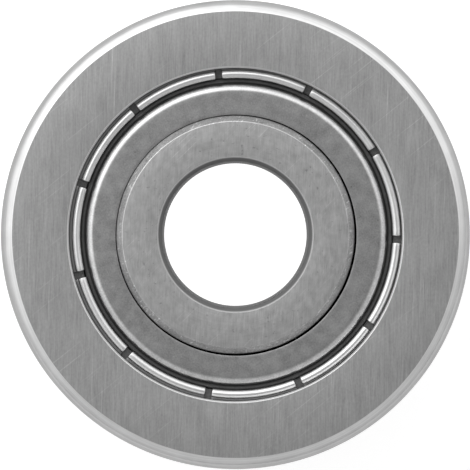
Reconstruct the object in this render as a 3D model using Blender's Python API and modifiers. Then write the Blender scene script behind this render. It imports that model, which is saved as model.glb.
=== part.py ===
"""Yoke-type cam follower: a track roller built as a shielded double-row ball bearing.

Units are metres. +Z is the bore's axis, and the origin is the middle of the bore.
Every turned outline is a list of (radius, height) points in the +X half-plane.
"""
import math

import bmesh
import bpy

MM = 0.001

# Boundary dimensions
OUTER_RADIUS = 16.0 * MM
BORE_RADIUS = 5.0 * MM
HALF_WIDTH = 7.0 * MM
CROWN_RADIUS = 500.0 * MM

# Outer ring
CORNER_WIDTH = 0.8 * MM
CORNER_HEIGHT = 0.7 * MM
CORNER_BULGE = 0.07 * MM
RECESS_RADIUS = 11.33 * MM
RECESS_DEPTH = 1.4 * MM
EDGE_BREAK = 0.1 * MM
SNAP_GROOVE_RADIUS = 11.75 * MM
SNAP_GROOVE_HEIGHT = 0.55 * MM
OUTER_SHOULDER_RADIUS = 10.62 * MM

# Inner ring
INNER_SHOULDER_RADIUS = 8.12 * MM
INNER_CORNER_WIDTH = 0.42 * MM
INNER_CORNER_HEIGHT = 0.45 * MM
BORE_CHAMFER = 0.3 * MM

# Balls and the tracks that they run in
BALLS_PER_ROW = 8
BALL_RADIUS = 2.381 * MM
PITCH_RADIUS = 9.6 * MM
ROW_HEIGHT = 2.9 * MM
TRACK_CONFORMITY = 1.04
BALL_CLEARANCE = 0.04 * MM
TRACK_STEPS = 6

# Shield: the height of the sheet's middle at its flat, its channel and its rolled rim
SHEET_THICKNESS = 0.2 * MM
SHIELD_INNER_RADIUS = 8.23 * MM
SHIELD_FLAT_RADIUS = 9.72 * MM
SHIELD_FLAT_HEIGHT = 6.5 * MM
SHOULDER_BEND_RADIUS = 0.45 * MM
CHANNEL_HEIGHT = 5.8 * MM
BEAD_RADIUS = 10.9 * MM
BEAD_HALF_WIDTH = 0.19 * MM
BEAD_CREST_HEIGHT = 6.49 * MM
TOE_BEND = 0.12 * MM
TOE_RADIUS = 11.6 * MM
SLOT_COUNT = 11
SLOT_WIDTH = 0.46 * MM
SLOT_ROOT_RADIUS = 10.62 * MM
FIRST_SLOT_ANGLE = math.radians(30.9)

# Cage: a moulded ring with fingers that reach past the balls' middles
CAGE_INNER_RADIUS = 8.8 * MM
CAGE_OUTER_RADIUS = 10.2 * MM
CAGE_TOP = 5.85 * MM
CAGE_OUTER_TOP = 5.6 * MM
CAGE_SLOPE_RADIUS = 9.75 * MM
FINGER_REACH = 1.0 * MM
POCKET_CLEARANCE = 0.18 * MM
FINGER_NOTCH_WIDTH = 0.7 * MM
FINGER_NOTCH_TOP = 3.6 * MM

# Facets around the axis
OUTER_RING_STEPS = 56
INNER_RING_STEPS = 40
SHIELD_STEPS = 4 * SLOT_COUNT
CAGE_STEPS = 40
BALL_SEGMENTS = 12
BALL_RINGS = 8
POCKET_SEGMENTS = 12
POCKET_RINGS = 8
SHARP_ANGLE = math.radians(32)

# Row names, with the side of the mid-plane that each lies on
ROWS = (("front", 1), ("back", -1))


def clear_scene():
    """Remove every object, so that the part starts from nothing."""
    for obj in list(bpy.data.objects):
        bpy.data.objects.remove(obj, do_unlink=True)


def new_collection(name):
    """Add a collection to the scene."""
    collection = bpy.data.collections.new(name)
    bpy.context.scene.collection.children.link(collection)
    return collection


def new_material(name, colour, roughness, metallic):
    """Make a Principled BSDF material."""
    material = bpy.data.materials.new(name)
    material.use_nodes = True
    shader = material.node_tree.nodes["Principled BSDF"]
    shader.inputs["Base Color"].default_value = (*colour, 1.0)
    shader.inputs["Roughness"].default_value = roughness
    shader.inputs["Metallic"].default_value = metallic
    return material


def new_object(name, mesh, collection):
    """Put a mesh in the scene as a named object."""
    obj = bpy.data.objects.new(name, mesh)
    collection.objects.link(obj)
    return obj


def arc(centre, radius, start, end, steps):
    """Points on an arc about a (radius, height) centre, from one angle in degrees to another."""
    angles = [math.radians(start + (end - start) * i / steps) for i in range(steps + 1)]
    return [(centre[0] + radius * math.cos(a), centre[1] + radius * math.sin(a)) for a in angles]


def mirrored_loop(upper):
    """Close an outline whose upper half runs from the outer side, over the top, to the inner side."""
    lower = [(r, -z) for r, z in upper if z > 0]
    return upper[::-1] + lower


def profile_mesh(name, points, closed):
    """Make a mesh of edges along a (radius, height) outline."""
    mesh = bpy.data.meshes.new(name)
    edges = [(i, i + 1) for i in range(len(points) - 1)]
    if closed:
        edges.append((len(points) - 1, 0))
    mesh.from_pydata([(r, 0.0, z) for r, z in points], edges, [])
    return mesh


def add_screw(obj, steps):
    """Turn an outline about Z."""
    screw = obj.modifiers.new("Turn", "SCREW")
    screw.axis = "Z"
    screw.steps = steps
    screw.render_steps = steps
    screw.use_merge_vertices = True
    screw.merge_threshold = 0.001 * MM


def add_cut(obj, cutter):
    """Cut one object by another."""
    cut = obj.modifiers.new(f"Cut {cutter.name}", "BOOLEAN")
    cut.operation = "DIFFERENCE"
    cut.solver = "EXACT"
    cut.object = cutter


def bake(obj):
    """Replace an object's mesh with the one that its modifiers make, smooth with sharp corners."""
    depsgraph = bpy.context.evaluated_depsgraph_get()
    mesh = bpy.data.meshes.new_from_object(obj.evaluated_get(depsgraph))
    mesh.name = f"{obj.name} surface"
    mesh.shade_smooth()
    mesh.set_sharp_from_angle(angle=SHARP_ANGLE)
    obj.modifiers.clear()
    obj.data = mesh


def track_arc(shoulder_radius, bottom_radius, side):
    """The ball track above the mid-plane, from its upper shoulder to its lower one.

    side is 1 on the outer ring, whose track opens inwards, and -1 on the inner ring.
    The arc's corners stand off a little, so that the flats between them touch the true groove.
    """
    groove = BALL_RADIUS * TRACK_CONFORMITY
    centre = (bottom_radius - side * groove, ROW_HEIGHT)
    reach = math.degrees(math.acos(side * (shoulder_radius - centre[0]) / groove))
    corner_radius = groove / math.cos(math.radians(reach / TRACK_STEPS))
    middle = 0 if side > 0 else 180
    points = arc(centre, corner_radius, middle + side * reach, middle - side * reach, TRACK_STEPS)
    ends = [(shoulder_radius, points[0][1]), (shoulder_radius, points[-1][1])]
    return [ends[0], *points[1:-1], ends[1]]


def outer_ring_outline():
    """Crowned rolling surface, rounded corners, shield recesses with snap grooves, two ball tracks."""
    corner_start = HALF_WIDTH - CORNER_HEIGHT
    crown_drop = corner_start**2 / (2 * CROWN_RADIUS)
    corner_middle = (
        OUTER_RADIUS - (CORNER_WIDTH + crown_drop) / 2 + CORNER_BULGE,
        HALF_WIDTH - CORNER_HEIGHT / 2 + CORNER_BULGE,
    )
    floor = HALF_WIDTH - RECESS_DEPTH
    upper = [
        (OUTER_RADIUS, 0.0),
        (OUTER_RADIUS - crown_drop, corner_start),
        corner_middle,
        (OUTER_RADIUS - CORNER_WIDTH, HALF_WIDTH),
        (RECESS_RADIUS + EDGE_BREAK, HALF_WIDTH),
        (RECESS_RADIUS, HALF_WIDTH - EDGE_BREAK),
        (RECESS_RADIUS, floor + SNAP_GROOVE_HEIGHT),
        (SNAP_GROOVE_RADIUS, floor + SNAP_GROOVE_HEIGHT),
        (SNAP_GROOVE_RADIUS, floor),
        (OUTER_SHOULDER_RADIUS, floor),
    ]
    upper += track_arc(OUTER_SHOULDER_RADIUS, PITCH_RADIUS + BALL_RADIUS + BALL_CLEARANCE, 1)
    return mirrored_loop(upper)


def inner_ring_outline():
    """Two ball tracks between plain shoulders, chamfered corners and a chamfered bore."""
    track = track_arc(INNER_SHOULDER_RADIUS, PITCH_RADIUS - BALL_RADIUS - BALL_CLEARANCE, -1)
    upper = track[::-1] + [
        (INNER_SHOULDER_RADIUS, HALF_WIDTH - INNER_CORNER_HEIGHT),
        (INNER_SHOULDER_RADIUS - INNER_CORNER_WIDTH, HALF_WIDTH),
        (BORE_RADIUS + BORE_CHAMFER, HALF_WIDTH),
        (BORE_RADIUS, HALF_WIDTH - BORE_CHAMFER),
    ]
    return mirrored_loop(upper)


def shield_midline():
    """The middle of the sheet, from its inner edge over the flat, the channel and the rolled rim."""
    shoulder_centre = (SHIELD_FLAT_RADIUS, SHIELD_FLAT_HEIGHT - SHOULDER_BEND_RADIUS)
    shoulder = arc(shoulder_centre, SHOULDER_BEND_RADIUS, 90, 0, 2)
    channel_start = SHIELD_FLAT_RADIUS + SHOULDER_BEND_RADIUS
    channel_end = BEAD_RADIUS - BEAD_HALF_WIDTH
    channel_bend = (channel_end - channel_start) / 2
    channel_centre = ((channel_start + channel_end) / 2, CHANNEL_HEIGHT + channel_bend)
    channel = arc(channel_centre, channel_bend, 180, 360, 3)
    bead = arc((BEAD_RADIUS, BEAD_CREST_HEIGHT - BEAD_HALF_WIDTH), BEAD_HALF_WIDTH, 180, 0, 3)
    toe_start = BEAD_RADIUS + BEAD_HALF_WIDTH + TOE_BEND
    toe = [(toe_start, CHANNEL_HEIGHT), (TOE_RADIUS, CHANNEL_HEIGHT)]
    edge = [(SHIELD_INNER_RADIUS, SHIELD_FLAT_HEIGHT)]
    return edge + shoulder[:-1] + channel + bead + toe


def cage_outline():
    """The cage's section before its pockets are cut: a block with a sloping outer top."""
    bottom = ROW_HEIGHT - FINGER_REACH
    return [
        (CAGE_INNER_RADIUS, CAGE_TOP),
        (CAGE_SLOPE_RADIUS, CAGE_TOP),
        (CAGE_OUTER_RADIUS, CAGE_OUTER_TOP),
        (CAGE_OUTER_RADIUS, bottom),
        (CAGE_INNER_RADIUS, bottom),
    ]


def new_turned(name, outline, steps, material, collection):
    """A solid of revolution about Z."""
    obj = new_object(name, profile_mesh(name, outline, True), collection)
    obj.data.materials.append(material)
    add_screw(obj, steps)
    return obj


def spokes_cutter(name, count, first_angle, low, high, width, collection):
    """Boxes set around the axis, each from a (radius, height) low corner to a high one."""
    mesh = bpy.data.meshes.new(name)
    model = bmesh.new()
    size = (high[0] - low[0], width, high[1] - low[1])
    middle = ((high[0] + low[0]) / 2, 0.0, (high[1] + low[1]) / 2)
    for i in range(count):
        box = bmesh.ops.create_cube(model, size=1.0)["verts"]
        bmesh.ops.scale(model, vec=size, verts=box)
        bmesh.ops.translate(model, vec=middle, verts=box)
        turn_about_z(model, box, first_angle + 2 * math.pi * i / count)
    model.to_mesh(mesh)
    model.free()
    return new_cutter(name, mesh, collection)


def pockets_cutter(name, collection):
    """Spheres a little larger than the balls, one in each ball's place."""
    mesh = bpy.data.meshes.new(name)
    model = bmesh.new()
    radius = BALL_RADIUS + POCKET_CLEARANCE
    for i in range(BALLS_PER_ROW):
        sphere = bmesh.ops.create_uvsphere(
            model, u_segments=POCKET_SEGMENTS, v_segments=POCKET_RINGS, radius=radius
        )["verts"]
        bmesh.ops.translate(model, vec=(PITCH_RADIUS, 0.0, ROW_HEIGHT), verts=sphere)
        turn_about_z(model, sphere, 2 * math.pi * i / BALLS_PER_ROW)
    model.to_mesh(mesh)
    model.free()
    return new_cutter(name, mesh, collection)


def turn_about_z(model, verts, angle):
    """Turn some vertices about the part's axis."""
    cos, sin = math.cos(angle), math.sin(angle)
    for vert in verts:
        x, y, z = vert.co
        vert.co = (x * cos - y * sin, x * sin + y * cos, z)


def new_cutter(name, mesh, collection):
    """A wireframe helper that only cuts."""
    cutter = new_object(name, mesh, collection)
    cutter.display_type = "WIRE"
    cutter.hide_render = True
    return cutter


def build_rings(steel, collection):
    """The outer ring and the inner ring."""
    outer = new_turned("outer_ring", outer_ring_outline(), OUTER_RING_STEPS, steel, collection)
    inner = new_turned("inner_ring", inner_ring_outline(), INNER_RING_STEPS, steel, collection)
    bake(outer)
    bake(inner)
    return outer, inner


def build_shields(steel, outer_ring, collection, cutters):
    """Two pressed sheet rings, whose rolled rims are slotted into fingers that snap into the outer ring.

    The slots are cut in the middles of facets, and each shield is then turned to set its first slot.
    """
    front = new_object("shield_front", profile_mesh("shield", shield_midline(), False), collection)
    front.data.materials.append(steel)
    add_screw(front, SHIELD_STEPS)
    solidify = front.modifiers.new("Sheet", "SOLIDIFY")
    solidify.thickness = SHEET_THICKNESS
    solidify.offset = 0.0
    solidify.use_even_offset = True
    low = (SLOT_ROOT_RADIUS, CHANNEL_HEIGHT - 2 * SHEET_THICKNESS)
    high = (SNAP_GROOVE_RADIUS, HALF_WIDTH)
    half_facet = math.pi / SHIELD_STEPS
    slots = spokes_cutter("slots", SLOT_COUNT, half_facet, low, high, SLOT_WIDTH, cutters)
    add_cut(front, slots)
    bake(front)
    back = new_object("shield_back", front.data, collection)
    front.rotation_euler = (0.0, 0.0, FIRST_SLOT_ANGLE - half_facet)
    back.rotation_euler = (math.pi, 0.0, half_facet - FIRST_SLOT_ANGLE)
    for shield in (front, back):
        shield.parent = outer_ring


def build_cage(name, side, mesh, inner_ring, collection):
    """One cage, turned over for the back row and set half a ball further round."""
    cage = new_object(name, mesh, collection)
    if side < 0:
        cage.rotation_euler = (math.pi, 0.0, math.pi / BALLS_PER_ROW)
    cage.parent = inner_ring
    return cage


def build_cages_and_balls(polyamide, ball_steel, inner_ring, collection, cutters):
    """Both rows of balls, each in its own cage."""
    blank = new_turned("cage blank", cage_outline(), CAGE_STEPS, polyamide, cutters)
    half_pitch = math.pi / BALLS_PER_ROW
    low = (CAGE_INNER_RADIUS - 1 * MM, 0.0)
    high = (CAGE_OUTER_RADIUS + 1 * MM, FINGER_NOTCH_TOP)
    add_cut(blank, pockets_cutter("pockets", cutters))
    notches = spokes_cutter(
        "notches", BALLS_PER_ROW, half_pitch, low, high, FINGER_NOTCH_WIDTH, cutters
    )
    add_cut(blank, notches)
    bake(blank)
    cage_mesh = blank.data
    bpy.data.objects.remove(blank, do_unlink=True)
    ball_mesh = new_ball_mesh(ball_steel)
    for row, side in ROWS:
        cage = build_cage(f"cage_{row}", side, cage_mesh, inner_ring, collection)
        for i in range(BALLS_PER_ROW):
            ball = new_object(f"ball_{row}_{i + 1}", ball_mesh, collection)
            angle = 2 * half_pitch * i
            ball.location = (PITCH_RADIUS * math.cos(angle), PITCH_RADIUS * math.sin(angle), ROW_HEIGHT)
            ball.parent = cage


def new_ball_mesh(steel):
    """One ball about its own centre."""
    mesh = bpy.data.meshes.new("ball")
    model = bmesh.new()
    bmesh.ops.create_uvsphere(
        model, u_segments=BALL_SEGMENTS, v_segments=BALL_RINGS, radius=BALL_RADIUS
    )
    model.to_mesh(mesh)
    model.free()
    mesh.shade_smooth()
    mesh.materials.append(steel)
    return mesh


def main():
    clear_scene()
    part = new_collection("cam_follower")
    cutters = new_collection("cutters")
    ring_steel = new_material("ring_steel", (0.50, 0.50, 0.51), 0.35, 1.0)
    shield_steel = new_material("shield_steel", (0.42, 0.42, 0.43), 0.45, 1.0)
    ball_steel = new_material("ball_steel", (0.62, 0.62, 0.63), 0.1, 1.0)
    polyamide = new_material("cage_polyamide", (0.05, 0.05, 0.055), 0.55, 0.0)
    outer, inner = build_rings(ring_steel, part)
    build_shields(shield_steel, outer, part, cutters)
    build_cages_and_balls(polyamide, ball_steel, inner, part, cutters)


main()
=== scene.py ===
"""Looks of the cam follower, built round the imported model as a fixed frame.

Every piece is a fine mesh that stands for one CAD node and rides on that node's body. Lengths are in
metres, +Z is the bore's axis, and an outline is a list of (radius, height, corner rounding).
"""
import math

import bmesh
import bpy
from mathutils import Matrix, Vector


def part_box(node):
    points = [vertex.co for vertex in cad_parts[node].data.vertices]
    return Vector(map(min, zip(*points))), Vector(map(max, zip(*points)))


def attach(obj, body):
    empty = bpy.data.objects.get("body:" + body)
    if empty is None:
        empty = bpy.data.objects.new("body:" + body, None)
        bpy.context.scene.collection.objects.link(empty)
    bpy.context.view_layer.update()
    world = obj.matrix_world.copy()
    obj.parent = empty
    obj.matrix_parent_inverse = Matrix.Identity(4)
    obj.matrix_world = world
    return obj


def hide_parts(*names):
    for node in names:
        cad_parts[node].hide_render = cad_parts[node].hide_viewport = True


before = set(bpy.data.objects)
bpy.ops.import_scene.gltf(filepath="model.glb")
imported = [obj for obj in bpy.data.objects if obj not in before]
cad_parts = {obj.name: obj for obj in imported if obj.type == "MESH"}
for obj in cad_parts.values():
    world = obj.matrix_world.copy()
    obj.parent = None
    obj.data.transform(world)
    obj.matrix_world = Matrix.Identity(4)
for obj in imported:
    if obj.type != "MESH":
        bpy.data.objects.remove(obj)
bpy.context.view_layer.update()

MM = 0.001

# Sizes read from the frame
OUTER_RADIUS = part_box("outer_ring")[1].x
HALF_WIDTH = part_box("outer_ring")[1].z
INNER_SHOULDER_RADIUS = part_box("inner_ring")[1].x
BALL_RADIUS = (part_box("ball_front_1")[1].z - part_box("ball_front_1")[0].z) / 2
ROW_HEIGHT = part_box("ball_front_1")[1].z - BALL_RADIUS
PITCH_RADIUS = (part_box("ball_front_1")[1].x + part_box("ball_front_1")[0].x) / 2
CAGE_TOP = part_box("cage_front")[1].z
CAGE_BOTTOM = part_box("cage_front")[0].z

# Outer ring
CROWN_RADIUS = 500.0 * MM
CORNER_WIDTH = 0.8 * MM
CORNER_HEIGHT = 0.7 * MM
CORNER_BULGE = 0.07 * MM
RECESS_RADIUS = 11.33 * MM
RECESS_FLOOR = HALF_WIDTH - 1.4 * MM
EDGE_BREAK = 0.1 * MM
SNAP_GROOVE_RADIUS = 11.75 * MM
SNAP_GROOVE_TOP = RECESS_FLOOR + 0.55 * MM
OUTER_SHOULDER_RADIUS = 10.62 * MM
CORNER_MIDDLE_ROUNDING = 0.4 * MM
GROUND_EDGE_ROUNDING = 0.12 * MM
TURNED_EDGE_ROUNDING = 0.05 * MM
GROOVE_ROUNDING = 0.08 * MM
GROOVE_LIP_ROUNDING = 0.03 * MM

# Inner ring
BORE_RADIUS = 5.0 * MM
BORE_CHAMFER = 0.3 * MM
INNER_CORNER_WIDTH = 0.42 * MM
INNER_CORNER_HEIGHT = 0.45 * MM
INNER_CORNER_OUTER_ROUNDING = 0.15 * MM
INNER_CORNER_TOP_ROUNDING = 0.1 * MM
BORE_EDGE_ROUNDING = 0.06 * MM

# Ball tracks
TRACK_CONFORMITY = 1.04
BALL_CLEARANCE = 0.04 * MM
BALLS_PER_ROW = 8

# Shields: the height of the sheet's middle at its flat, its channel and its bead
SHEET_THICKNESS = 0.2 * MM
SHIELD_INNER_RADIUS = 8.19 * MM
SHIELD_FLAT_RADIUS = 9.72 * MM
SHIELD_FLAT_HEIGHT = 6.5 * MM
SHOULDER_BEND_RADIUS = 0.45 * MM
CHANNEL_HEIGHT = 5.8 * MM
BEAD_RADIUS = 10.9 * MM
BEAD_HALF_WIDTH = 0.19 * MM
BEAD_CREST_HEIGHT = 6.49 * MM
TOE_BEND = 0.12 * MM
TOE_RADIUS = 11.6 * MM
SLOT_COUNT = 11
SLOT_WIDTH = 0.46 * MM
SLOT_ROOT_RADIUS = 10.62 * MM
FIRST_SLOT_ANGLE = math.radians(30.9)
CUT_EDGE_ROUNDING = 0.07 * MM
HOLE_EDGE_ROUNDING = 0.04 * MM
SHIELD_RUN_OUT = 0.07 * MM
RUN_OUT_ANGLE = math.radians(20)
HOLE_RUN_OUT = 0.07 * MM
HOLE_RUN_OUT_ANGLE = math.radians(-136)

# Cages
CAGE_INNER_RADIUS = 8.8 * MM
CAGE_OUTER_RADIUS = 10.2 * MM
CAGE_OUTER_TOP = 5.6 * MM
CAGE_SLOPE_RADIUS = 9.75 * MM
POCKET_CLEARANCE = 0.18 * MM
FINGER_NOTCH_WIDTH = 0.7 * MM
FINGER_NOTCH_TOP = 3.6 * MM
NOTCH_OVERLAP = 1.0 * MM
CAGE_TOP_ROUNDING = 0.12 * MM
CAGE_ROUNDING = 0.1 * MM

# Fineness of the meshes
TURN_STEPS = 360
CROWN_STEPS = 6
ARC_STEP = math.radians(9)
FLAT_STEPS = 8
SLOT_STEPS = 4
FINGER_STEPS = 20
EDGE_STEPS = 4
CLOSEST_ROWS = 0.002 * MM
TOLERANCE = 1e-9
BALL_SEGMENTS = 48
POCKET_SEGMENTS = 64
SHARP_ANGLE = math.radians(35)

# Finishes: the grey of each, and painted shade and highlight that change between two radii, as
# (from radius, to radius, value at the first, value at the second)
FACE_GREY = 0.388
INNER_FACE_GREY = 1.12 * FACE_GREY
TREAD_GREY = 0.48
CORNER_GREY = 0.78
SCUFFED_GREY = 0.5
BORE_GREY = 0.25
# Painted shade: the recess's dark grey, under the shield
RECESS_GREY = 0.23
# Painted shade: the channel's dark grey
CHANNEL_GREY = 0.12
FLAT_GREY = 0.335
# The bend's and the bead's light greys are painted highlights on the same sheet as the flat
BEND_GREY = 0.66
BEAD_GREY = 0.74
BALL_GREY = 0.66
CAGE_GREY = 0.035
NO_PAINTED_LIGHT = (0.0, 1.0, 1.0, 1.0)
# Painted shade on the outer ring's corner, darker towards the tread
CORNER_PAINTED_SHADE = (OUTER_RADIUS - 0.6 * MM, OUTER_RADIUS - 0.1 * MM, 1.0, 0.63)
# Painted highlight: a bright line along the bore chamfer's outer edge
BORE_PAINTED_HIGHLIGHT = (BORE_RADIUS + 0.18 * MM, BORE_RADIUS + 0.28 * MM, 1.0, 2.6)
# Painted shade on the inner ring's corner where it meets the shield's hole
GAP_PAINTED_SHADE = (INNER_SHOULDER_RADIUS - 0.1 * MM, INNER_SHOULDER_RADIUS, 1.0, 0.75)
# Painted highlight: the shield's grey turns lighter at its bend
BEND_PAINTED_HIGHLIGHT = (SHIELD_FLAT_RADIUS, SHIELD_FLAT_RADIUS + 0.2 * MM, FLAT_GREY, BEND_GREY)

# Where each finish ends
FLAT_FACE_NORMAL = 0.98
FINISH_MARGIN = 0.05 * MM
LIP_MARGIN = 0.01 * MM
INNER_FACE_DEPTH = 1.0 * MM
SCUFFED_DEPTH = 0.6 * MM
DULL_CHANNEL_TOP = CHANNEL_HEIGHT + 0.35 * MM
# Painted shade down into the shield's channel, between these heights
CHANNEL_SHADE_BOTTOM = CHANNEL_HEIGHT + 0.12 * MM
CHANNEL_SHADE_TOP = BEAD_CREST_HEIGHT - 0.1 * MM

# Where nearly all of a noise's values lie
NOISE_LOW = 0.25
NOISE_HIGH = 0.75

# Studio: a tent that is brighter on one side, with a dimmer opening overhead
BRIGHT_SIDE = (math.cos(math.radians(105)), math.sin(math.radians(105)), 0.0)
TENT_BRIGHTEST = 1.25
TENT_DIMMEST = 0.62
TENT_SIDES = (-0.5, 0.4)
TENT_FOOT = 0.55
TENT_FOOT_TOP = 0.45
OPENING_TILT = math.radians(10)
OPENING_AZIMUTH = math.radians(-60)
OPENING_DIRECTION = (
    math.sin(OPENING_TILT) * math.cos(OPENING_AZIMUTH),
    math.sin(OPENING_TILT) * math.sin(OPENING_AZIMUTH),
    math.cos(OPENING_TILT),
)
OPENING_EDGE = math.radians(40)
OPENING_CORE = math.radians(16)
OPENING_LIGHT = 0.43
KEY_PLACE = (-0.095, 0.136, 0.213)
KEY_SIZE = 0.28
KEY_POWER = 0.2

# Floor: pale, with a glow that fades outwards and is strongest under the bore
FLOOR_SIZE = 6.0
FLOOR_GAP = 0.02 * MM
FLOOR_GREY = 0.6
FLOOR_ROUGHNESS = 0.9
FLOOR_GLOW_NEAR = 0.68
FLOOR_GLOW_FAR = 0.25
FLOOR_GLOW_REACH = 2.5 * OUTER_RADIUS
BORE_GLOW = 0.38

# Camera, straight above the front face
CAMERA_DISTANCE = 0.39
CAMERA_LENS = 432.0
SENSOR_WIDTH = 36.0
CAMERA_SHIFT = (-0.0008, -0.0009)
CAMERA_CLIP = (0.01, 20.0)


# ---------------------------------------------------------------- outlines


def arc(centre, radius, start, end):
    """Points on an arc about a (radius, height) centre, from one angle in degrees to another."""
    steps = max(2, round(abs(math.radians(end - start)) / ARC_STEP))
    angles = [math.radians(start + (end - start) * i / steps) for i in range(steps + 1)]
    return [(centre[0] + radius * math.cos(a), centre[1] + radius * math.sin(a)) for a in angles]


def rounded(corners):
    """Round the corners of a closed outline, each by its own radius."""
    points = []
    for i, (r, z, rounding) in enumerate(corners):
        corner = Vector((r, z))
        if rounding == 0:
            points.append((r, z))
            continue
        back = (Vector(corners[i - 1][:2]) - corner).normalized()
        ahead = (Vector(corners[(i + 1) % len(corners)][:2]) - corner).normalized()
        half = back.angle(ahead) / 2
        centre = corner + (back + ahead).normalized() * rounding / math.sin(half)
        start = corner + back * rounding / math.tan(half) - centre
        turn = start.angle_signed(corner + ahead * rounding / math.tan(half) - centre)
        steps = max(2, round(abs(turn) / ARC_STEP))
        for k in range(steps + 1):
            angle = -turn * k / steps
            cos, sin = math.cos(angle), math.sin(angle)
            points.append(
                (centre.x + start.x * cos - start.y * sin, centre.y + start.x * sin + start.y * cos)
            )
    return points


def mirrored_loop(upper):
    """Close an outline whose upper half runs from the outer side, over the top, to the inner side."""
    lower = [(r, -z, rounding) for r, z, rounding in upper if z > 0]
    return upper[::-1] + lower


def track_arc(shoulder_radius, bottom_radius, side):
    """The ball track above the mid-plane, from its upper shoulder to its lower one.

    side is 1 on the outer ring, whose track opens inwards, and -1 on the inner ring.
    """
    groove = BALL_RADIUS * TRACK_CONFORMITY
    centre = (bottom_radius - side * groove, ROW_HEIGHT)
    reach = math.degrees(math.acos(side * (shoulder_radius - centre[0]) / groove))
    middle = 0 if side > 0 else 180
    points = arc(centre, groove, middle + side * reach, middle - side * reach)
    return [(r, z, 0) for r, z in points]


def outer_ring_outline():
    """Crowned tread, rounded corners, shield recesses with snap grooves, two ball tracks."""
    corner_start = HALF_WIDTH - CORNER_HEIGHT
    crown_drop = corner_start**2 / (2 * CROWN_RADIUS)
    corner_middle = (
        OUTER_RADIUS - (CORNER_WIDTH + crown_drop) / 2 + CORNER_BULGE,
        HALF_WIDTH - CORNER_HEIGHT / 2 + CORNER_BULGE,
        CORNER_MIDDLE_ROUNDING,
    )
    crown_heights = [corner_start * i / CROWN_STEPS for i in range(CROWN_STEPS)]
    upper = [(OUTER_RADIUS - z**2 / (2 * CROWN_RADIUS), z, 0) for z in crown_heights]
    upper += [
        (OUTER_RADIUS - crown_drop, corner_start, GROUND_EDGE_ROUNDING),
        corner_middle,
        (OUTER_RADIUS - CORNER_WIDTH, HALF_WIDTH, GROUND_EDGE_ROUNDING),
        (RECESS_RADIUS + EDGE_BREAK, HALF_WIDTH, TURNED_EDGE_ROUNDING),
        (RECESS_RADIUS, HALF_WIDTH - EDGE_BREAK, TURNED_EDGE_ROUNDING),
        (RECESS_RADIUS, SNAP_GROOVE_TOP, GROOVE_LIP_ROUNDING),
        (SNAP_GROOVE_RADIUS, SNAP_GROOVE_TOP, GROOVE_ROUNDING),
        (SNAP_GROOVE_RADIUS, RECESS_FLOOR, GROOVE_ROUNDING),
        (OUTER_SHOULDER_RADIUS, RECESS_FLOOR, TURNED_EDGE_ROUNDING),
    ]
    track_bottom = PITCH_RADIUS + BALL_RADIUS + BALL_CLEARANCE
    return upper + track_arc(OUTER_SHOULDER_RADIUS, track_bottom, side=1)


def inner_ring_outline():
    """Two ball tracks between plain shoulders, chamfered corners and a chamfered bore."""
    track_bottom = PITCH_RADIUS - BALL_RADIUS - BALL_CLEARANCE
    track = track_arc(INNER_SHOULDER_RADIUS, track_bottom, side=-1)
    return track[::-1] + [
        (INNER_SHOULDER_RADIUS, HALF_WIDTH - INNER_CORNER_HEIGHT, INNER_CORNER_OUTER_ROUNDING),
        (INNER_SHOULDER_RADIUS - INNER_CORNER_WIDTH, HALF_WIDTH, INNER_CORNER_TOP_ROUNDING),
        (BORE_RADIUS + BORE_CHAMFER, HALF_WIDTH, TURNED_EDGE_ROUNDING),
        (BORE_RADIUS, HALF_WIDTH - BORE_CHAMFER, BORE_EDGE_ROUNDING),
    ]


def cage_outline():
    """The cage's section before its pockets are cut, with moulded roundings."""
    return [
        (CAGE_INNER_RADIUS, CAGE_TOP, CAGE_TOP_ROUNDING),
        (CAGE_SLOPE_RADIUS, CAGE_TOP, CAGE_TOP_ROUNDING),
        (CAGE_OUTER_RADIUS, CAGE_OUTER_TOP, CAGE_ROUNDING),
        (CAGE_OUTER_RADIUS, CAGE_BOTTOM, CAGE_ROUNDING),
        (CAGE_INNER_RADIUS, CAGE_BOTTOM, CAGE_ROUNDING),
    ]


# ---------------------------------------------------------------- meshes


def new_object(name, mesh):
    """Put a mesh in the scene as a named object."""
    obj = bpy.data.objects.new(name, mesh)
    bpy.context.scene.collection.objects.link(obj)
    return obj


def smooth(mesh):
    """Shade a mesh smooth, with its corners left sharp."""
    mesh.shade_smooth()
    mesh.set_sharp_from_angle(angle=SHARP_ANGLE)


def turned_mesh(name, points):
    """A closed outline turned about Z. The outline runs down its outer side."""
    count = len(points)
    verts = []
    for i in range(TURN_STEPS):
        cos, sin = math.cos(2 * math.pi * i / TURN_STEPS), math.sin(2 * math.pi * i / TURN_STEPS)
        verts += [(r * cos, r * sin, z) for r, z in points]
    faces = []
    for i in range(TURN_STEPS):
        here, there = i * count, (i + 1) % TURN_STEPS * count
        for k in range(count):
            ahead = (k + 1) % count
            faces.append((here + k, here + ahead, there + ahead, there + k))
    mesh = bpy.data.meshes.new(name)
    mesh.from_pydata(verts, [], faces)
    smooth(mesh)
    return mesh


def paint(mesh, materials, rule):
    """Give each face the material that rule names from its middle's radius and height and its normal."""
    names = list(materials)
    for name in names:
        mesh.materials.append(materials[name])
    for face in mesh.polygons:
        x, y, z = face.center
        face.material_index = names.index(rule(math.hypot(x, y), z, face.normal))


def stand_for(obj, node, body):
    """Make a piece ride on a body in place of a CAD node."""
    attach(obj, body)
    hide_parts(node)


# ---------------------------------------------------------------- shield sheet


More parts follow.
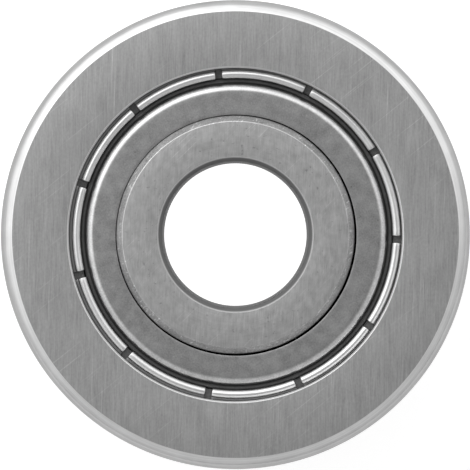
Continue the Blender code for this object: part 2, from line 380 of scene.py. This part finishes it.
def sheet_midline():
    """The middle of the sheet from its inner edge over the flat, the channel and the bead to the toe."""
    shoulder_centre = (SHIELD_FLAT_RADIUS, SHIELD_FLAT_HEIGHT - SHOULDER_BEND_RADIUS)
    shoulder = arc(shoulder_centre, SHOULDER_BEND_RADIUS, 90, 0)
    channel_start = SHIELD_FLAT_RADIUS + SHOULDER_BEND_RADIUS
    channel_end = BEAD_RADIUS - BEAD_HALF_WIDTH
    channel_bend = (channel_end - channel_start) / 2
    channel_centre = ((channel_start + channel_end) / 2, CHANNEL_HEIGHT + channel_bend)
    channel = arc(channel_centre, channel_bend, 180, 360)
    bead = arc((BEAD_RADIUS, BEAD_CREST_HEIGHT - BEAD_HALF_WIDTH), BEAD_HALF_WIDTH, 180, 0)
    leg = BEAD_RADIUS + BEAD_HALF_WIDTH
    toe_bend = arc((leg + TOE_BEND, CHANNEL_HEIGHT + TOE_BEND), TOE_BEND, 180, 270)
    flat_width = SHIELD_FLAT_RADIUS - SHIELD_INNER_RADIUS
    flat = [
        (SHIELD_INNER_RADIUS + flat_width * i / FLAT_STEPS, SHIELD_FLAT_HEIGHT)
        for i in range(FLAT_STEPS)
    ]
    return flat + shoulder + channel + bead + toe_bend + [(TOE_RADIUS, CHANNEL_HEIGHT)]


def edge_steps(rounding):
    """Distances inwards from a rounded edge that step evenly round its quarter circle."""
    return [rounding * (1 - math.cos(math.pi / 2 * k / EDGE_STEPS)) for k in range(EDGE_STEPS + 1)]


def sheet_rows():
    """(distance along the sheet, radius, height, normal) down the midline, close-set at its cut edges."""
    points = [Vector(p) for p in sheet_midline()]
    lengths = [0.0]
    for a, b in zip(points, points[1:]):
        lengths.append(lengths[-1] + (b - a).length)
    root = next(
        s + (SLOT_ROOT_RADIUS - a.x) / (b.x - a.x) * (b - a).length
        for s, a, b in zip(lengths, points, points[1:])
        if a.x < SLOT_ROOT_RADIUS <= b.x
    )
    cut = edge_steps(CUT_EDGE_ROUNDING)
    hole = edge_steps(HOLE_EDGE_ROUNDING)
    extra = hole[1:] + [root - d for d in cut] + [lengths[-1] - d for d in cut[1:]]
    wanted = sorted(set(lengths) | set(extra))
    wanted = [s for i, s in enumerate(wanted) if i == 0 or s - wanted[i - 1] > CLOSEST_ROWS or s == root]
    rows = []
    for s in wanted:
        k = max(i for i in range(len(points) - 1) if lengths[i] <= s + TOLERANCE)
        along = points[k + 1] - points[k]
        at = points[k] + along * (s - lengths[k]) / along.length
        before = points[k] - points[k - 1] if k and s - lengths[k] < TOLERANCE else along
        direction = (before.normalized() + along.normalized()).normalized()
        rows.append((s, at.x, at.y, Vector((-direction.y, direction.x))))
    return rows, root, lengths[-1]


def sheet_columns():
    """One slot pitch as (side, distance from the slot's middle line, share of the finger) columns.

    side 1 and -1 are columns set off from this slot and from the next one, and 0 lies between them.
    """
    half = SLOT_WIDTH / 2
    cut = edge_steps(CUT_EDGE_ROUNDING)[1:]
    columns = [(1, SLOT_WIDTH * (k / SLOT_STEPS - 0.5), 0) for k in range(SLOT_STEPS + 1)]
    columns += [(1, half + d, 0) for d in cut]
    columns += [(0, half + CUT_EDGE_ROUNDING, i / FINGER_STEPS) for i in range(1, FINGER_STEPS)]
    columns += [(-1, half + d, 0) for d in cut[::-1]]
    return columns


def column_angle(column, radius):
    """A column's angle from its slot's middle line at a radius, because the slots' sides are parallel."""
    side, offset, share = column
    pitch = 2 * math.pi / SLOT_COUNT
    edge = math.asin(offset / radius)
    if side > 0:
        return edge
    if side < 0:
        return pitch - edge
    return edge + (pitch - 2 * edge) * share


def edge_drop(distance, rounding):
    """How far a rounded edge falls below the sheet's face at a distance from the edge."""
    inward = rounding - min(distance, rounding)
    return rounding - math.sqrt(rounding**2 - inward**2)


def sheet_half_thickness(s, column, root, end):
    """Half the sheet's thickness, less towards its cut edges because they are rounded."""
    side, offset, _ = column
    from_side = max(abs(offset) - SLOT_WIDTH / 2, 0.0) if side else CUT_EDGE_ROUNDING
    from_slot = math.hypot(from_side, max(root - s, 0.0))
    drop = max(edge_drop(min(from_slot, end - s), CUT_EDGE_ROUNDING), edge_drop(s, HOLE_EDGE_ROUNDING))
    return SHEET_THICKNESS / 2 - drop


def sheet_verts(rows, columns, root, end):
    """Row by row, the vertices of the sheet's front and then of its back, round the shield."""
    verts = []
    for s, radius, height, normal in rows:
        run_out = max(1 - s / (SHIELD_FLAT_RADIUS - SHIELD_INNER_RADIUS), 0.0) * HOLE_RUN_OUT
        aside = (run_out * math.cos(HOLE_RUN_OUT_ANGLE), run_out * math.sin(HOLE_RUN_OUT_ANGLE))
        for sheet_side in (1, -1):
            for slot in range(SLOT_COUNT):
                for column in columns:
                    thick = sheet_side * sheet_half_thickness(s, column, root, end)
                    r, z = radius + normal.x * thick, height + normal.y * thick
                    angle = 2 * math.pi * slot / SLOT_COUNT + column_angle(column, radius)
                    verts.append((r * math.cos(angle) + aside[0], r * math.sin(angle) + aside[1], z))
    return verts


def sheet_faces(rows, pitch_width, root):
    """The faces of the sheet's front, back and cut edges. pitch_width is the columns in a slot pitch."""
    width = pitch_width * SLOT_COUNT

    def solid(j, i):
        """True where the sheet is not cut away between rows j and j + 1 and columns i and i + 1."""
        if not 0 <= j < len(rows) - 1:
            return False
        return rows[j][0] < root - TOLERANCE or i % pitch_width >= SLOT_STEPS

    def vert(j, i, back):
        """The number of a vertex, with back as 0 for the sheet's front and 1 for its back."""
        return (2 * j + back) * width + i % width

    faces = []
    for j in range(len(rows) - 1):
        for i in range(width):
            if not solid(j, i):
                continue
            faces.append((vert(j, i, 0), vert(j + 1, i, 0), vert(j + 1, i + 1, 0), vert(j, i + 1, 0)))
            faces.append((vert(j, i, 1), vert(j, i + 1, 1), vert(j + 1, i + 1, 1), vert(j + 1, i, 1)))
            # Wall off each neighbour that is cut away, along the edge from a to b
            for (dj, di), (a, b) in (
                ((-1, 0), ((j, i), (j, i + 1))),
                ((1, 0), ((j + 1, i + 1), (j + 1, i))),
                ((0, -1), ((j + 1, i), (j, i))),
                ((0, 1), ((j, i + 1), (j + 1, i + 1))),
            ):
                if not solid(j + dj, (i + di) % width):
                    faces.append((vert(*a, 0), vert(*b, 0), vert(*b, 1), vert(*a, 1)))
    return faces


def shield_mesh():
    """The pressed sheet, with slots from its bead's inner foot outwards and round cut edges."""
    rows, root, end = sheet_rows()
    columns = sheet_columns()
    mesh = bpy.data.meshes.new("shield")
    mesh.from_pydata(sheet_verts(rows, columns, root, end), [], sheet_faces(rows, len(columns), root))
    model = bmesh.new()
    model.from_mesh(mesh)
    bmesh.ops.delete(model, geom=[v for v in model.verts if not v.link_faces], context="VERTS")
    bmesh.ops.recalc_face_normals(model, faces=model.faces)
    model.to_mesh(mesh)
    model.free()
    smooth(mesh)
    return mesh


# ---------------------------------------------------------------- cage


def cage_mesh():
    """A moulded ring with a pocket for each ball and a notch in each finger between them."""
    blank = new_object("cage_blank", turned_mesh("cage_blank", rounded(cage_outline())))
    model = bmesh.new()
    notch_depth = CAGE_OUTER_RADIUS - CAGE_INNER_RADIUS + 2 * NOTCH_OVERLAP
    for i in range(BALLS_PER_ROW):
        angle = 2 * math.pi * i / BALLS_PER_ROW
        centre = (PITCH_RADIUS * math.cos(angle), PITCH_RADIUS * math.sin(angle), ROW_HEIGHT)
        pocket = bmesh.ops.create_uvsphere(
            model,
            u_segments=POCKET_SEGMENTS,
            v_segments=POCKET_SEGMENTS // 2,
            radius=BALL_RADIUS + POCKET_CLEARANCE,
        )["verts"]
        bmesh.ops.translate(model, vec=centre, verts=pocket)
        between = angle + math.pi / BALLS_PER_ROW
        notch = bmesh.ops.create_cube(model, size=1.0)["verts"]
        for vert in notch:
            r = PITCH_RADIUS + vert.co.x * notch_depth
            across = vert.co.y * FINGER_NOTCH_WIDTH
            vert.co = (
                r * math.cos(between) - across * math.sin(between),
                r * math.sin(between) + across * math.cos(between),
                FINGER_NOTCH_TOP / 2 + vert.co.z * FINGER_NOTCH_TOP,
            )
    cutters = bpy.data.meshes.new("cage_cutters")
    model.to_mesh(cutters)
    model.free()
    cutter = new_object("cage_cutters", cutters)
    cut = blank.modifiers.new("Pockets", "BOOLEAN")
    cut.object = cutter
    depsgraph = bpy.context.evaluated_depsgraph_get()
    mesh = bpy.data.meshes.new_from_object(blank.evaluated_get(depsgraph))
    for helper in (blank, cutter):
        bpy.data.objects.remove(helper, do_unlink=True)
    smooth(mesh)
    return mesh


# ---------------------------------------------------------------- materials


class Nodes:
    """A node tree that is built one call at a time."""

    def __init__(self, tree):
        self.tree = tree

    def node(self, kind, inputs=(), **settings):
        """Add a node. inputs are (socket, value or linked socket) pairs."""
        made = self.tree.nodes.new(kind)
        for key, value in settings.items():
            setattr(made, key, value)
        for key, value in inputs:
            self.feed(made.inputs[key], value)
        return made

    def feed(self, socket, value):
        """Set a socket, or link it if the value is another node's output."""
        if isinstance(value, bpy.types.NodeSocket):
            self.tree.links.new(value, socket)
        else:
            socket.default_value = value

    def maths(self, operation, a, b=0.0):
        """One arithmetic step."""
        return self.node("ShaderNodeMath", [(0, a), (1, b)], operation=operation).outputs[0]

    def vector(self, operation, a, b):
        """One vector step."""
        return self.node("ShaderNodeVectorMath", [(0, a), (1, b)], operation=operation).outputs[0]

    def dot(self, a, b):
        """The dot product of two vectors."""
        made = self.node("ShaderNodeVectorMath", [(0, a), (1, b)], operation="DOT_PRODUCT")
        return made.outputs["Value"]

    def spread(self, value, low, high, from_low=0.0, from_high=1.0, smoothed=False):
        """Map a value to a new range, clamped at both ends."""
        inputs = [(0, value), (1, from_low), (2, from_high), (3, low), (4, high)]
        kind = "SMOOTHSTEP" if smoothed else "LINEAR"
        return self.node("ShaderNodeMapRange", inputs, interpolation_type=kind).outputs[0]

    def weighted(self, *parts):
        """The sum of (value, weight) pairs."""
        total = self.maths("MULTIPLY", *parts[0])
        for value, weight in parts[1:]:
            total = self.maths("ADD", total, self.maths("MULTIPLY", value, weight))
        return total


class Shader(Nodes):
    """A Principled material made from object coordinates."""

    def __init__(self, name, metallic):
        self.material = bpy.data.materials.new(name)
        self.material.use_nodes = True
        super().__init__(self.material.node_tree)
        self.surface = self.tree.nodes["Principled BSDF"]
        self.surface.inputs["Metallic"].default_value = metallic
        self.place = self.node("ShaderNodeTexCoord").outputs["Object"]

    def grain_place(self, x, y, z, turn=0.0):
        """Object coordinates, turned about Z, in grains of a size along each direction."""
        turned = self.node(
            "ShaderNodeVectorRotate", [("Vector", self.place), ("Angle", turn)], rotation_type="Z_AXIS"
        ).outputs[0]
        return self.vector("MULTIPLY", turned, (1 / x, 1 / y, 1 / z))

    def radius(self):
        """Distance from the axis."""
        flat = self.vector("MULTIPLY", self.place, (1.0, 1.0, 0.0))
        return self.node("ShaderNodeVectorMath", [(0, flat)], operation="LENGTH").outputs["Value"]

    def height(self):
        """Height along the axis."""
        return self.node("ShaderNodeSeparateXYZ", [(0, self.place)]).outputs["Z"]

    def ring_place(self, width, turns):
        """Coordinates for marks round the axis: narrow across the radius and height, long round it."""
        flat = self.vector("MULTIPLY", self.place, (1.0, 1.0, 0.0))
        around = self.node("ShaderNodeVectorMath", [(0, flat)], operation="NORMALIZE").outputs[0]
        across = self.maths("MULTIPLY", self.maths("ADD", self.radius(), self.height()), 1 / width)
        marks = self.node("ShaderNodeCombineXYZ", [("X", across), ("Z", across)]).outputs[0]
        return self.vector("ADD", self.vector("MULTIPLY", around, (turns, turns, 0.0)), marks)

    def noise(self, place, detail, roughness=0.55):
        """Smooth noise about 0.5."""
        return self.node(
            "ShaderNodeTexNoise",
            [("Vector", place), ("Scale", 1.0), ("Detail", detail), ("Roughness", roughness)],
        ).outputs["Fac"]

    def streaks(self, width, length, detail, roughness=0.55, turn=0.0):
        """Noise drawn out along Y, or at an angle to it."""
        return self.noise(self.grain_place(width, length, length, turn), detail, roughness)

    def blotches(self, size, detail, roughness=0.55):
        """Noise that is the same in every direction."""
        return self.noise(self.grain_place(size, size, size), detail, roughness)

    def rings(self, width, turns, detail, roughness=0.55):
        """Noise drawn out round the axis."""
        return self.noise(self.ring_place(width, turns), detail, roughness)

    def marks(self, noise, shade, start, end):
        """A factor that goes from 1 to a shade as the noise goes from start to end."""
        return self.spread(noise, 1.0, shade, start, end)

    def fade(self, start, end, at_start, at_end):
        """A value that changes smoothly between two radii."""
        return self.spread(self.radius(), at_start, at_end, start, end, smoothed=True)

    def depth_shade(self, low, high, darkest):
        """A factor that falls to its darkest where the surface lies below a height in the recess."""
        depth = self.maths("ABSOLUTE", self.height())
        return self.spread(depth, darkest, 1.0, low, high, smoothed=True)

    def finish(self, grey, grain, swing, roughness, relief, shade=1.0):
        """Let the grain vary the grey by a swing, the roughness, and the surface's height by a relief.

        roughness is a (smoothest, roughest) pair, and shade scales the grey.
        """
        lightness = self.spread(grain, 1 - swing, 1 + swing, NOISE_LOW, NOISE_HIGH)
        colour = self.maths("MULTIPLY", self.maths("MULTIPLY", lightness, shade), grey)
        bump = [("Strength", 1.0), ("Distance", relief), ("Height", grain)]
        self.feed(self.surface.inputs["Base Color"], colour)
        self.feed(self.surface.inputs["Roughness"], self.spread(grain, *roughness, NOISE_LOW, NOISE_HIGH))
        self.feed(self.surface.inputs["Normal"], self.node("ShaderNodeBump", bump).outputs[0])
        return self.material


def ground_face_steel():
    """The outer ring's side faces, ground in one direction: fine marks along Y and a few scratches."""
    shader = Shader("ground_face_steel", metallic=1.0)
    grain = shader.weighted(
        (shader.streaks(0.07 * MM, 1.3 * MM, detail=3.0, roughness=0.6), 0.42),
        (shader.streaks(0.16 * MM, 7 * MM, detail=2.0, turn=0.02), 0.16),
        (shader.streaks(0.12 * MM, 0.2 * MM, detail=2.0), 0.22),
        (shader.streaks(1.0 * MM, 2.5 * MM, detail=3.0), 0.2),
    )
    crossing = shader.streaks(0.1 * MM, 9 * MM, detail=1.0, turn=0.9)
    along = shader.streaks(0.12 * MM, 7 * MM, detail=1.0, turn=0.03)
    scratches = shader.maths(
        "MULTIPLY",
        shader.marks(crossing, shade=1.25, start=0.69, end=0.77),
        shader.marks(along, shade=1.3, start=0.66, end=0.8),
    )
    return shader.finish(
        FACE_GREY, grain, swing=0.34, roughness=(0.34, 0.42), relief=0.006 * MM, shade=scratches
    )


def lathe_steel(name, grey, roughness, width, swing, painted_light=NO_PAINTED_LIGHT):
    """Turned or ground round surfaces, with fine marks round the axis and faint clouds."""
    shader = Shader(name, metallic=1.0)
    grain = shader.weighted(
        (shader.rings(width, turns=2.0, detail=3.0, roughness=0.6), 0.5),
        (shader.rings(4 * width, turns=5.0, detail=2.0), 0.25),
        (shader.blotches(1.2 * MM, detail=3.0), 0.25),
    )
    # painted_light scales the grey between two radii: painted shade on the corner, a painted highlight on
    # the bore
    shade = shader.fade(*painted_light)
    return shader.finish(grey, grain, swing, roughness, relief=0.0006 * MM, shade=shade)


def recess_steel():
    """The bottom of the shield recess: turned and dull, its dark grey painted shade under the shield."""
    shader = Shader("recess_steel_painted_shade", metallic=1.0)
    grain = shader.weighted(
        (shader.rings(0.06 * MM, turns=6.0, detail=3.0), 0.35),
        (shader.blotches(0.2 * MM, detail=3.0), 0.65),
    )
    # The dark grey is painted shade under the shield
    return shader.finish(RECESS_GREY, grain, swing=0.45, roughness=(0.45, 0.65), relief=0.003 * MM)


def inner_face_steel():
    """The inner ring's face: ground like the outer ring's but smoother, with clouds and a few stains."""
    shader = Shader("inner_face_steel", metallic=1.0)
    clouds = shader.noise(shader.grain_place(0.5 * MM, 0.7 * MM, 0.5 * MM), detail=4.0, roughness=0.6)
    grain = shader.weighted(
        (clouds, 0.45),
        (shader.streaks(0.07 * MM, 1.2 * MM, detail=3.0, roughness=0.6, turn=0.05), 0.4),
        (shader.rings(0.1 * MM, turns=3.0, detail=2.0), 0.15),
    )
    stains = shader.noise(shader.grain_place(0.3 * MM, 0.25 * MM, 0.3 * MM), detail=2.0)
    scratches = shader.streaks(0.07 * MM, 4 * MM, detail=1.0, turn=0.8)
    shade = shader.maths(
        "MULTIPLY",
        shader.spread(stains, low=0.72, high=1.0, from_low=0.26, from_high=0.34),
        shader.marks(scratches, shade=1.25, start=0.68, end=0.78),
    )
    return shader.finish(
        INNER_FACE_GREY, grain, swing=0.32, roughness=(0.32, 0.4), relief=0.0012 * MM, shade=shade
    )


def scuffed_steel():
    """The inner ring's corner: turned, then scuffed, with painted shade where it meets the shield's hole.
    """
    shader = Shader("scuffed_steel", metallic=1.0)
    grain = shader.weighted(
        (shader.rings(0.05 * MM, turns=6.0, detail=4.0, roughness=0.7), 0.6),
        (shader.blotches(0.12 * MM, detail=2.0), 0.4),
    )
    scuffs = shader.noise(shader.grain_place(0.12 * MM, 0.5 * MM, 0.3 * MM, turn=0.7), detail=2.0)
    nicks = shader.marks(scuffs, shade=1.6, start=0.6, end=0.7)
    # painted shade at the gap to the shield's hole
    shade = shader.maths("MULTIPLY", nicks, shader.fade(*GAP_PAINTED_SHADE))
    return shader.finish(
        SCUFFED_GREY, grain, swing=0.45, roughness=(0.28, 0.4), relief=0.003 * MM, shade=shade
    )


def sheet_grain(shader):
    """The cloudy, slightly gritty look of cold-rolled sheet."""
    return shader.weighted(
        (shader.blotches(0.7 * MM, detail=4.0, roughness=0.6), 0.5),
        (shader.streaks(0.1 * MM, 0.12 * MM, detail=2.0), 0.5),
    )


def bent_sheet_steel():
    """The shield's dull flat, with a painted highlight where it bends, and painted shade down into its
    channel.
    """
    shader = Shader("bent_sheet_steel", metallic=1.0)
    # Painted highlight: lighter grey at the bend
    grey = shader.fade(*BEND_PAINTED_HIGHLIGHT)
    # Painted shade, darkest down in the channel
    painted_shade = shader.depth_shade(CHANNEL_SHADE_BOTTOM, CHANNEL_SHADE_TOP, darkest=0.18)
    specks = shader.streaks(0.1 * MM, 0.2 * MM, detail=1.0, turn=0.4)
    nicks = shader.marks(specks, shade=1.35, start=0.72, end=0.8)
    shade = shader.maths("MULTIPLY", painted_shade, nicks)
    return shader.finish(
        grey, sheet_grain(shader), swing=0.3, roughness=(0.26, 0.38), relief=0.0016 * MM, shade=shade
    )


def channel_steel_painted_shade():
    """The bottom of the shield's channel, dull, its dark grey painted shade."""
    shader = Shader("channel_steel_painted_shade", metallic=1.0)
    # The dark grey is painted shade
    return shader.finish(
        CHANNEL_GREY, sheet_grain(shader), swing=0.35, roughness=(0.5, 0.65), relief=0.002 * MM
    )


def bead_steel():
    """The shield's bead and toe, lighter in grey as a painted highlight, with painted shade down the
    sides.
    """
    shader = Shader("bead_steel_painted_light", metallic=1.0)
    # Painted shade down the bead's sides
    painted_shade = shader.depth_shade(CHANNEL_HEIGHT + SHEET_THICKNESS, BEAD_CREST_HEIGHT, darkest=0.36)
    return shader.finish(
        BEAD_GREY, sheet_grain(shader), swing=0.1, roughness=(0.26, 0.36), relief=0.0012 * MM, shade=painted_shade
    )


def ball_steel():
    """Lapped balls: almost a mirror, with a faint haze."""
    shader = Shader("polished_ball_steel", metallic=1.0)
    haze = shader.blotches(0.5 * MM, detail=3.0)
    return shader.finish(BALL_GREY, haze, swing=0.04, roughness=(0.05, 0.1), relief=0.0001 * MM)


def cage_polyamide():
    """Glass-filled polyamide: dark, satin, with a fine flow grain."""
    shader = Shader("dark_polyamide", metallic=0.0)
    flow = shader.noise(
        shader.grain_place(0.12 * MM, 0.12 * MM, 0.4 * MM), detail=4.0, roughness=0.65
    )
    return shader.finish(CAGE_GREY, flow, swing=0.35, roughness=(0.4, 0.6), relief=0.004 * MM)


# ---------------------------------------------------------------- pieces


def outer_ring_finish(r, z, normal):
    """Which finish a face of the outer ring has."""
    height = abs(z)
    if r > OUTER_RADIUS - CORNER_WIDTH - FINISH_MARGIN:
        return "tread" if height < HALF_WIDTH - CORNER_HEIGHT - EDGE_BREAK else "corner"
    if r > RECESS_RADIUS + EDGE_BREAK and abs(normal.z) > FLAT_FACE_NORMAL:
        return "face"
    if r > RECESS_RADIUS - LIP_MARGIN and height > SNAP_GROOVE_TOP:
        return "corner"
    return "recess" if height > RECESS_FLOOR - FINISH_MARGIN else "track"


def inner_ring_finish(r, z, normal):
    """Which finish a face of the inner ring has."""
    if abs(z) > HALF_WIDTH - INNER_FACE_DEPTH and abs(normal.z) > FLAT_FACE_NORMAL:
        return "face"
    if r > INNER_SHOULDER_RADIUS - INNER_CORNER_WIDTH - EDGE_BREAK:
        return "corner" if abs(z) > HALF_WIDTH - SCUFFED_DEPTH else "track"
    return "bore" if r < BORE_RADIUS + BORE_CHAMFER + EDGE_BREAK else "track"


def shield_finish(r, z, normal):
    """Which finish a face of the shield has."""
    if r > BEAD_RADIUS - BEAD_HALF_WIDTH - SHEET_THICKNESS / 4:
        return "bead"
    return "channel" if r > SHIELD_FLAT_RADIUS and z < DULL_CHANNEL_TOP else "bent"


def add_rings():
    """The outer and the inner ring."""
    track = lathe_steel(
        "ground_track_steel", TREAD_GREY, roughness=(0.12, 0.2), width=0.04 * MM, swing=0.04
    )
    tread = lathe_steel(
        "ground_tread_steel", TREAD_GREY, roughness=(0.2, 0.28), width=0.06 * MM, swing=0.14
    )
    corner = lathe_steel(
        "turned_corner_steel",
        CORNER_GREY,
        roughness=(0.26, 0.36),
        width=0.05 * MM,
        swing=0.22,
        # painted shade on the corner's outer part
        painted_light=CORNER_PAINTED_SHADE,
    )
    bore = lathe_steel(
        "honed_bore_steel",
        BORE_GREY,
        roughness=(0.7, 0.8),
        width=0.05 * MM,
        swing=0.15,
        # painted highlight along the chamfer's outer edge
        painted_light=BORE_PAINTED_HIGHLIGHT,
    )
    outer_finishes = {
        "face": ground_face_steel(),
        "tread": tread,
        "corner": corner,
        "recess": recess_steel(),
        "track": track,
    }
    outer = turned_mesh("outer_ring_surface", rounded(mirrored_loop(outer_ring_outline())))
    paint(outer, outer_finishes, outer_ring_finish)
    stand_for(new_object("outer_ring_surface", outer), "outer_ring", "roller")
    inner_finishes = {
        "face": inner_face_steel(),
        "corner": scuffed_steel(),
        "bore": bore,
        "track": track,
    }
    inner = turned_mesh("inner_ring_surface", rounded(mirrored_loop(inner_ring_outline())))
    paint(inner, inner_finishes, inner_ring_finish)
    stand_for(new_object("inner_ring_surface", inner), "inner_ring", "inner")


def add_shields():
    """The front shield, and the same piece turned over for the back. Each runs a little out of true."""
    mesh = shield_mesh()
    finishes = {"bent": bent_sheet_steel(), "channel": channel_steel_painted_shade(), "bead": bead_steel()}
    paint(mesh, finishes, shield_finish)
    for row, turn_over, side in (("front", 0.0, 1), ("back", math.pi, -1)):
        shield = new_object(f"shield_{row}_surface", mesh)
        shift = (math.cos(RUN_OUT_ANGLE), side * math.sin(RUN_OUT_ANGLE), 0.0)
        shield.location = Vector(shift) * SHIELD_RUN_OUT
        shield.rotation_euler = (turn_over, 0.0, side * FIRST_SLOT_ANGLE)
        stand_for(shield, f"shield_{row}", "roller")


def add_cages():
    """Both cages. The back one is turned over and set half a ball further round."""
    mesh = cage_mesh()
    mesh.materials.clear()
    mesh.materials.append(cage_polyamide())
    for row, rotation in (("front", (0.0, 0.0, 0.0)), ("back", (math.pi, 0.0, math.pi / BALLS_PER_ROW))):
        cage = new_object(f"cage_{row}_surface", mesh)
        cage.rotation_euler = rotation
        stand_for(cage, f"cage_{row}", f"cage_{row}")


def add_balls():
    """Sixteen balls, each where its CAD node is."""
    mesh = bpy.data.meshes.new("ball_surface")
    model = bmesh.new()
    bmesh.ops.create_uvsphere(
        model, u_segments=BALL_SEGMENTS, v_segments=BALL_SEGMENTS // 2, radius=BALL_RADIUS
    )
    model.to_mesh(mesh)
    model.free()
    mesh.shade_smooth()
    mesh.materials.append(ball_steel())
    for row in ("front", "back"):
        for i in range(BALLS_PER_ROW):
            node = f"ball_{row}_{i + 1}"
            low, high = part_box(node)
            ball = new_object(f"{node}_surface", mesh)
            ball.location = (low + high) / 2
            stand_for(ball, node, node)


# ---------------------------------------------------------------- studio


def add_floor():
    """A pale floor that glows under the roller, most of all below its bore."""
    shader = Shader("pale_floor", metallic=0.0)
    below_bore = shader.spread(shader.radius(), BORE_GLOW, 0.0, BORE_RADIUS, OUTER_RADIUS)
    around = shader.fade(OUTER_RADIUS, FLOOR_GLOW_REACH, FLOOR_GLOW_NEAR, FLOOR_GLOW_FAR)
    glow = shader.maths("ADD", below_bore, around)
    for socket, value in (
        ("Base Color", (FLOOR_GREY, FLOOR_GREY, FLOOR_GREY, 1.0)),
        ("Roughness", FLOOR_ROUGHNESS),
        ("Emission Color", (1.0, 1.0, 1.0, 1.0)),
        ("Emission Strength", glow),
    ):
        shader.feed(shader.surface.inputs[socket], value)
    bpy.ops.mesh.primitive_plane_add(size=FLOOR_SIZE, location=(0.0, 0.0, -HALF_WIDTH - FLOOR_GAP))
    floor = bpy.context.object
    floor.name = "floor"
    floor.data.materials.append(shader.material)


def add_area_light(name, place, size, power):
    """A soft square light that faces the roller."""
    data = bpy.data.lights.new(name, "AREA")
    data.size = size
    data.energy = power
    light = bpy.data.objects.new(name, data)
    light.location = place
    light.rotation_euler = Vector(place).to_track_quat("Z", "Y").to_euler()
    bpy.context.scene.collection.objects.link(light)


def add_surroundings():
    """A white tent, brightest towards +Y, with a dimmer opening overhead."""
    world = bpy.data.worlds.new("studio")
    bpy.context.scene.world = world
    world.use_nodes = True
    sky = Nodes(world.node_tree)
    direction = sky.node("ShaderNodeTexCoord").outputs["Generated"]
    side = sky.dot(direction, BRIGHT_SIDE)
    height = sky.node("ShaderNodeSeparateXYZ", [(0, direction)]).outputs["Z"]
    tent = sky.maths(
        "MULTIPLY",
        sky.spread(side, TENT_DIMMEST, TENT_BRIGHTEST, *TENT_SIDES, smoothed=True),
        sky.spread(height, TENT_FOOT, 1.0, 0.0, TENT_FOOT_TOP),
    )
    edge, core = math.cos(OPENING_EDGE), math.cos(OPENING_CORE)
    opening = sky.spread(sky.dot(direction, OPENING_DIRECTION), 0.0, 1.0, edge, core, smoothed=True)
    mixed = sky.node("ShaderNodeMix", [(0, opening), (2, tent), (3, OPENING_LIGHT)]).outputs[0]
    background = world.node_tree.nodes["Background"]
    sky.feed(background.inputs["Color"], (1.0, 1.0, 1.0, 1.0))
    sky.feed(background.inputs["Strength"], mixed)


def add_camera():
    """Straight above the front face, with +Y up in the picture."""
    data = bpy.data.cameras.new("camera")
    data.lens = CAMERA_LENS
    data.sensor_width = SENSOR_WIDTH
    data.shift_x, data.shift_y = CAMERA_SHIFT
    data.clip_start, data.clip_end = CAMERA_CLIP
    camera = bpy.data.objects.new("camera", data)
    camera.location = (0.0, 0.0, CAMERA_DISTANCE)
    bpy.context.scene.collection.objects.link(camera)
    bpy.context.scene.camera = camera
    bpy.context.scene.view_settings.view_transform = "Standard"


add_camera()
add_surroundings()
add_floor()
add_area_light("key", KEY_PLACE, KEY_SIZE, KEY_POWER)
add_rings()
add_shields()
add_cages()
add_balls()
